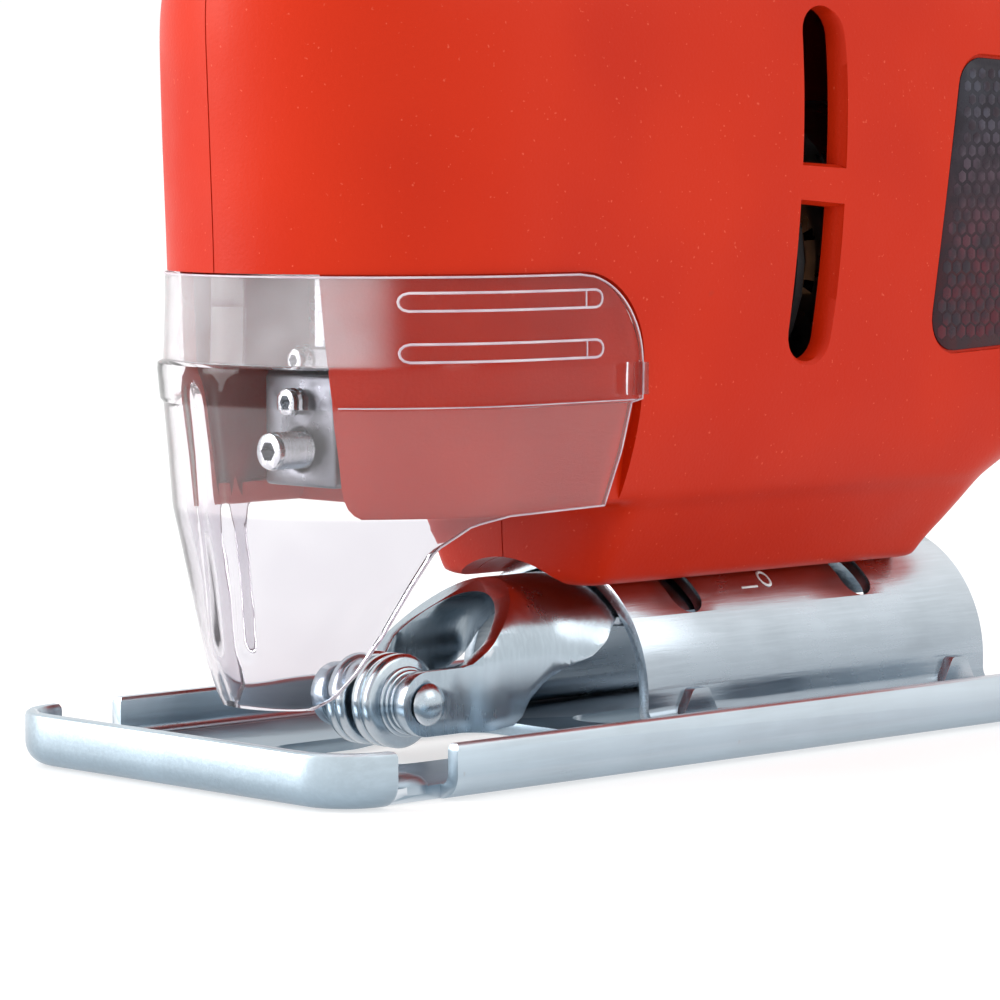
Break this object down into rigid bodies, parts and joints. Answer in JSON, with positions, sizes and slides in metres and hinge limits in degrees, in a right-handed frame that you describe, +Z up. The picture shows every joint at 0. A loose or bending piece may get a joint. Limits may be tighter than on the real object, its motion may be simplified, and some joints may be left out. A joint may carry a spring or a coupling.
{
  "type": "jigsaw power tool",
  "caption": "Corded D-handle jigsaw: clamshell housing, clear chip guard, tilting steel sole on a half-tube saddle, guide roller fork, blade clamp, crank drive and motor.",
  "frame": {"origin": "middle of the footprint of the whole tool, on the surface that the sole stands on", "axes": "+X towards the back of the tool (the blade and the nose are at -X), +Y to the tool's right, +Z up"},
  "size_m": [0.22, 0.075, 0.1974],
  "materials": {
    "orange_plastic": "fine moulded texture, satin",
    "black_rubber": "soft moulded, matt",
    "black_plastic": "moulded, matt",
    "clear_plastic": "clear polycarbonate, glossy",
    "zinc_steel": "bright zinc plating over fine brushing",
    "dark_steel": "dark, oiled",
    "cast_aluminium": "as cast, matt",
    "copper": "enamelled copper",
    "bronze": "sintered",
    "carbon": "pressed carbon, matt",
    "label": "printed film, satin"
  },
  "bodies": {
    "housing": {"housing_left": "orange_plastic", "housing_right": "orange_plastic", "housing_screw_1": "dark_steel", "housing_screw_2": "dark_steel", "housing_screw_3": "dark_steel", "housing_screw_4": "dark_steel", "housing_screw_5": "dark_steel", "housing_screw_6": "dark_steel", "housing_screw_7": "dark_steel", "housing_screw_8": "dark_steel", "handle_grip": "black_rubber", "label_left": "label", "label_right": "label", "cord_inlet_bush": "black_rubber", "dial_pin": "zinc_steel", "switch_block": "black_plastic", "trigger_spring": "zinc_steel", "roller_bracket": "zinc_steel", "roller_pin": "zinc_steel", "base_screw_front": "dark_steel", "base_screw_rear": "dark_steel", "base_washer_front": "zinc_steel", "base_washer_rear": "zinc_steel", "base_nut_bar": "zinc_steel", "gear_case": "cast_aluminium", "gear_axle": "zinc_steel", "plunger_bush_lower": "bronze", "plunger_bush_upper": "bronze", "field_core": "dark_steel", "motor_bearing_front": "zinc_steel", "motor_bearing_rear": "zinc_steel", "brush_holder_left": "bronze", "brush_holder_right": "bronze", "carbon_brush_left": "carbon", "carbon_brush_right": "carbon"},
    "base": {"sole_plate": "zinc_steel", "saddle_bracket": "zinc_steel"},
    "roller": {"guide_roller": "zinc_steel"},
    "saw_drive": {"plunger": "zinc_steel", "blade_clamp": "dark_steel", "clamp_screw_front": "zinc_steel", "clamp_screw_side": "zinc_steel"},
    "gear": {"drive_gear": "dark_steel", "crank_pin": "zinc_steel", "crank_roller": "zinc_steel"},
    "armature": {"armature_shaft": "zinc_steel", "armature_core": "dark_steel", "winding_front": "copper", "winding_rear": "copper", "commutator": "copper", "cooling_fan": "black_plastic"},
    "guard": {"chip_guard": "clear_plastic"},
    "trigger_body": {"trigger": "black_plastic"},
    "lock": {"lock_button": "black_plastic"},
    "dial": {"speed_dial": "black_plastic"}
  },
  "joints": [
    {"name": "base_tilt", "type": "hinge", "parent": "housing", "child": "base", "pos_m": [0.005, 0, 0.008], "axis": [1, 0, 0], "range_deg": [-45, 45]},
    {"name": "guide_roller_spin", "type": "hinge", "parent": "housing", "child": "roller", "pos_m": [-0.0685, 0, 0.0091], "axis": [0, 1, 0], "continuous": true},
    {"name": "blade_stroke", "type": "slide", "parent": "housing", "child": "saw_drive", "axis": [0, 0, 1], "range_m": [-0.0085, 0.0085]},
    {"name": "gear_spin", "type": "hinge", "parent": "housing", "child": "gear", "pos_m": [-0.056, 0, 0.094], "axis": [1, 0, 0], "continuous": true},
    {"name": "armature_spin", "type": "hinge", "parent": "housing", "child": "armature", "pos_m": [0, 0, 0.072], "axis": [1, 0, 0], "continuous": true},
    {"name": "guard_pull", "type": "slide", "parent": "housing", "child": "guard", "axis": [-1, 0, 0], "range_m": [0, 0.07]},
    {"name": "trigger_press", "type": "slide", "parent": "housing", "child": "trigger_body", "axis": [0, 0, 1], "range_m": [0, 0.006], "stiffness_N_per_m": 300, "springref_m": -0.003, "deforming": ["trigger_spring"]},
    {"name": "lock_press", "type": "slide", "parent": "housing", "child": "lock", "axis": [0, 1, 0], "range_m": [0, 0.003], "stiffness_N_per_m": 300, "springref_m": -0.002},
    {"name": "speed_dial_turn", "type": "hinge", "parent": "housing", "child": "dial", "pos_m": [-0.054, 0, 0.177], "axis": [0, 1, 0], "range_deg": [-150, 150]}
  ],
  "couplings": [
    {"joint": "armature_spin", "follows": "gear_spin", "ratio": -4.5}
  ]
}
